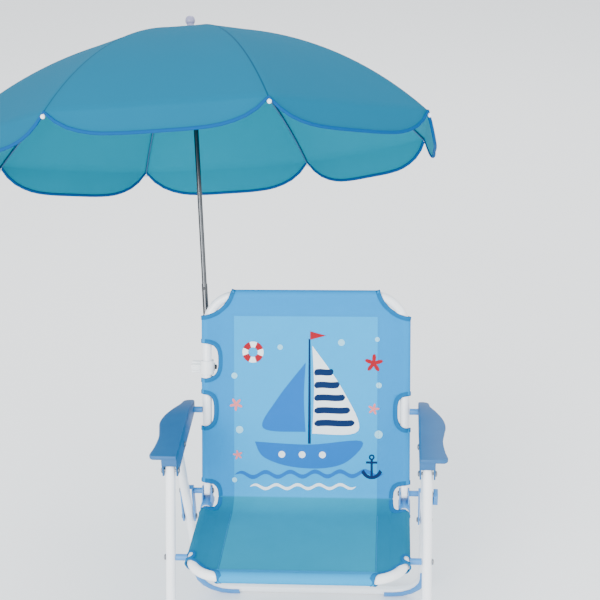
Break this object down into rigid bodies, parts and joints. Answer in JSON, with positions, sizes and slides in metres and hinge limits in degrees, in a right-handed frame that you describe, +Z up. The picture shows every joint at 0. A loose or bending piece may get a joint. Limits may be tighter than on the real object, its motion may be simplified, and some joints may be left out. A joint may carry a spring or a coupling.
{
  "type": "folding chair with sunshade",
  "caption": "Child's folding armchair on white steel tube with a taut cloth seat and back, moulded armrests, and a tilted round sunshade clamped to the back.",
  "frame": {"origin": "on the floor, under the centre of the whole part's bounding box, sunshade included", "axes": "+Z up; the chair faces -Y; -X is the side that carries the sunshade's clamp"},
  "size_m": [0.6898, 0.7868, 0.8618],
  "materials": {
    "white_enamel": "glossy powder coat",
    "blue_plastic": "fine matt moulding",
    "light_blue_plastic": "satin moulding",
    "teal_cloth": "plain woven polyester",
    "canopy_cloth": "thin plain woven polyester",
    "zinc_steel": "bright zinc plate",
    "chrome_steel": "bright plated tube",
    "white_plastic": "satin moulding",
    "black_plastic": "satin moulding",
    "lilac_plastic": "smooth moulding"
  },
  "bodies": {
    "front_legs": {"front_leg_frame": "white_enamel", "front_foot_left": "blue_plastic", "front_foot_right": "blue_plastic", "arm_front_pin_left": "zinc_steel", "arm_front_pin_right": "zinc_steel", "seat_front_bolt_left": "zinc_steel", "seat_front_bolt_right": "zinc_steel", "seat_spacer_left": "light_blue_plastic", "seat_spacer_right": "light_blue_plastic"},
    "seat": {"seat_frame": "white_enamel", "seat_cloth": "teal_cloth", "seat_bracket_left": "light_blue_plastic", "seat_bracket_right": "light_blue_plastic"},
    "back": {"back_frame": "white_enamel", "back_cloth": "teal_cloth", "arm_stud_left": "light_blue_plastic", "arm_stud_right": "light_blue_plastic", "seat_hinge_pin_left": "zinc_steel", "seat_hinge_pin_right": "zinc_steel", "umbrella_clamp": "white_plastic", "clamp_bolt": "black_plastic"},
    "arms": {"armrest_left": "blue_plastic", "armrest_right": "blue_plastic", "rear_leg_pin_left": "zinc_steel", "rear_leg_pin_right": "zinc_steel"},
    "rear_legs": {"rear_leg_frame": "white_enamel", "rear_foot_left": "blue_plastic", "rear_foot_right": "blue_plastic"},
    "links": {"fold_link_left": "light_blue_plastic", "fold_link_right": "light_blue_plastic", "link_rivet_left": "zinc_steel", "link_rivet_right": "zinc_steel", "link_hinge_pin_left": "zinc_steel", "link_hinge_pin_right": "zinc_steel"},
    "lock": {"safety_lock": "blue_plastic"},
    "knob": {"clamp_knob": "white_plastic"},
    "pole": {"lower_pole": "chrome_steel", "upper_pole": "chrome_steel", "top_notch": "white_plastic", "finial": "lilac_plastic", "canopy": "canopy_cloth"},
    "snap_button": {"snap_button": "black_plastic"},
    "runner": {"runner": "white_plastic"},
    "rib_1": {"rib_1": "chrome_steel"},
    "stretcher_1": {"stretcher_1": "zinc_steel"},
    "rib_2": {"rib_2": "chrome_steel"},
    "stretcher_2": {"stretcher_2": "zinc_steel"},
    "rib_3": {"rib_3": "chrome_steel"},
    "stretcher_3": {"stretcher_3": "zinc_steel"},
    "rib_4": {"rib_4": "chrome_steel"},
    "stretcher_4": {"stretcher_4": "zinc_steel"},
    "rib_5": {"rib_5": "chrome_steel"},
    "stretcher_5": {"stretcher_5": "zinc_steel"},
    "rib_6": {"rib_6": "chrome_steel"},
    "stretcher_6": {"stretcher_6": "zinc_steel"},
    "rib_7": {"rib_7": "chrome_steel"},
    "stretcher_7": {"stretcher_7": "zinc_steel"},
    "rib_8": {"rib_8": "chrome_steel"},
    "stretcher_8": {"stretcher_8": "zinc_steel"}
  },
  "joints": [
    {"name": "seat_fold", "type": "hinge", "parent": "front_legs", "child": "seat", "pos_m": [0.14995, -0.29218, 0.23222], "axis": [-1, 0, 0], "range_deg": [0, 86.5]},
    {"name": "back_hinge", "type": "hinge", "parent": "seat", "child": "back", "pos_m": [0.14995, -0.13517, 0.23222], "axis": [-1, 0, 0], "range_deg": [-86.51, 0]},
    {"name": "arm_hinge", "type": "hinge", "parent": "back", "child": "arms", "pos_m": [0.14995, -0.09078, 0.33939], "axis": [-1, 0, 0], "range_deg": [0, 86.51]},
    {"name": "rear_leg_hinge", "type": "hinge", "parent": "arms", "child": "rear_legs", "pos_m": [0.14995, -0.18778, 0.34239], "axis": [-1, 0, 0], "range_deg": [-47.19, 0]},
    {"name": "link_hinge", "type": "hinge", "parent": "rear_legs", "child": "links", "pos_m": [0.14995, -0.13035, 0.18462], "axis": [-1, 0, 0], "range_deg": [0, 129.37]},
    {"name": "lock_hinge", "type": "hinge", "parent": "links", "child": "lock", "pos_m": [0.14995, -0.13517, 0.23222], "axis": [1, 0, 0], "range_deg": [0, 25]},
    {"name": "knob_turn", "type": "hinge", "parent": "back", "child": "knob", "pos_m": [0.0103, -0.05849, 0.39096], "axis": [-1, 0, 0], "range_deg": [-540, 540]},
    {"name": "pole_slide", "type": "slide", "parent": "back", "child": "pole", "axis": [-0.0622, 0.454, 0.8888], "range_m": [0, 0.02]},
    {"name": "button_press", "type": "slide", "parent": "pole", "child": "snap_button", "axis": [0.0317, 0.891, -0.4529], "range_m": [0, 0.001], "stiffness_N_per_m": 200, "springref_m": -0.0005},
    {"name": "runner_slide", "type": "slide", "parent": "pole", "child": "runner", "axis": [0.0622, -0.454, -0.8888], "range_m": [0, 0.20559]},
    {"name": "rib_hinge_1", "type": "hinge", "parent": "pole", "child": "rib_1", "pos_m": [-0.01072, 0.16994, 0.81299], "axis": [-0.3768, 0.814, -0.4421], "range_deg": [0, 51.77], "deforming": ["canopy"]},
    {"name": "stretcher_hinge_1", "type": "hinge", "parent": "rib_1", "child": "stretcher_1", "pos_m": [0.1256, 0.21082, 0.76551], "axis": [0.3768, -0.814, 0.4421], "range_deg": [0, 103.49]},
    {"name": "rib_hinge_2", "type": "hinge", "parent": "pole", "child": "rib_2", "pos_m": [-0.01582, 0.1744, 0.81035], "axis": [-0.92, 0.3193, -0.2274], "range_deg": [0, 51.77]},
    {"name": "stretcher_hinge_2", "type": "hinge", "parent": "rib_2", "child": "stretcher_2", "pos_m": [0.04022, 0.28262, 0.72286], "axis": [0.92, -0.3193, 0.2274], "range_deg": [0, 103.49]},
    {"name": "rib_hinge_3", "type": "hinge", "parent": "pole", "child": "rib_3", "pos_m": [-0.02308, 0.17423, 0.80993], "axis": [-0.9242, -0.3624, 0.1205], "range_deg": [0, 51.77]},
    {"name": "stretcher_hinge_3", "type": "hinge", "parent": "rib_3", "child": "stretcher_3", "pos_m": [-0.07898, 0.27786, 0.71696], "axis": [0.9242, 0.3624, -0.1205], "range_deg": [0, 103.49]},
    {"name": "rib_hinge_4", "type": "hinge", "parent": "pole", "child": "rib_4", "pos_m": [-0.02824, 0.16953, 0.81197], "axis": [-0.3871, -0.8318, 0.3978], "range_deg": [0, 51.77]},
    {"name": "stretcher_hinge_4", "type": "hinge", "parent": "rib_4", "child": "stretcher_4", "pos_m": [-0.16216, 0.19932, 0.75126], "axis": [0.3871, 0.8318, -0.3978], "range_deg": [0, 103.49]},
    {"name": "rib_hinge_5", "type": "hinge", "parent": "pole", "child": "rib_5", "pos_m": [-0.02828, 0.16305, 0.81528], "axis": [0.3768, -0.814, 0.4421], "range_deg": [0, 51.77]},
    {"name": "stretcher_hinge_5", "type": "hinge", "parent": "rib_5", "child": "stretcher_5", "pos_m": [-0.16061, 0.09301, 0.80566], "axis": [-0.3768, 0.814, -0.4421], "range_deg": [0, 103.49]},
    {"name": "rib_hinge_6", "type": "hinge", "parent": "pole", "child": "rib_6", "pos_m": [-0.02318, 0.15859, 0.81791], "axis": [0.92, -0.3193, 0.2274], "range_deg": [0, 51.77]},
    {"name": "stretcher_hinge_6", "type": "hinge", "parent": "rib_6", "child": "stretcher_6", "pos_m": [-0.07523, 0.02121, 0.84831], "axis": [-0.92, 0.3193, -0.2274], "range_deg": [0, 103.49]},
    {"name": "rib_hinge_7", "type": "hinge", "parent": "pole", "child": "rib_7", "pos_m": [-0.01592, 0.15876, 0.81833], "axis": [0.9242, 0.3624, -0.1205], "range_deg": [0, 51.77]},
    {"name": "stretcher_hinge_7", "type": "hinge", "parent": "rib_7", "child": "stretcher_7", "pos_m": [0.04396, 0.02597, 0.85421], "axis": [-0.9242, -0.3624, 0.1205], "range_deg": [0, 103.49]},
    {"name": "rib_hinge_8", "type": "hinge", "parent": "pole", "child": "rib_8", "pos_m": [-0.01076, 0.16346, 0.81629], "axis": [0.3871, 0.8318, -0.3978], "range_deg": [0, 51.77]},
    {"name": "stretcher_hinge_8", "type": "hinge", "parent": "rib_8", "child": "stretcher_8", "pos_m": [0.12715, 0.10451, 0.81991], "axis": [-0.3871, -0.8318, 0.3978], "range_deg": [0, 103.49]}
  ],
  "couplings": [
    {"joint": "back_hinge", "follows": "seat_fold", "ratio": -1},
    {"joint": "arm_hinge", "follows": "seat_fold", "ratio": 1},
    {"joint": "rear_leg_hinge", "follows": "seat_fold", "ratio": -0.54549},
    {"joint": "link_hinge", "follows": "seat_fold", "ratio": 1.4955},
    {"joint": "rib_hinge_1", "follows": "runner_slide", "rad_per_m": 4.3907},
    {"joint": "stretcher_hinge_1", "follows": "runner_slide", "rad_per_m": 8.7813},
    {"joint": "rib_hinge_2", "follows": "runner_slide", "rad_per_m": 4.3907},
    {"joint": "stretcher_hinge_2", "follows": "runner_slide", "rad_per_m": 8.7813},
    {"joint": "rib_hinge_3", "follows": "runner_slide", "rad_per_m": 4.3907},
    {"joint": "stretcher_hinge_3", "follows": "runner_slide", "rad_per_m": 8.7813},
    {"joint": "rib_hinge_4", "follows": "runner_slide", "rad_per_m": 4.3907},
    {"joint": "stretcher_hinge_4", "follows": "runner_slide", "rad_per_m": 8.7813},
    {"joint": "rib_hinge_5", "follows": "runner_slide", "rad_per_m": 4.3907},
    {"joint": "stretcher_hinge_5", "follows": "runner_slide", "rad_per_m": 8.7813},
    {"joint": "rib_hinge_6", "follows": "runner_slide", "rad_per_m": 4.3907},
    {"joint": "stretcher_hinge_6", "follows": "runner_slide", "rad_per_m": 8.7813},
    {"joint": "rib_hinge_7", "follows": "runner_slide", "rad_per_m": 4.3907},
    {"joint": "stretcher_hinge_7", "follows": "runner_slide", "rad_per_m": 8.7813},
    {"joint": "rib_hinge_8", "follows": "runner_slide", "rad_per_m": 4.3907},
    {"joint": "stretcher_hinge_8", "follows": "runner_slide", "rad_per_m": 8.7813}
  ]
}
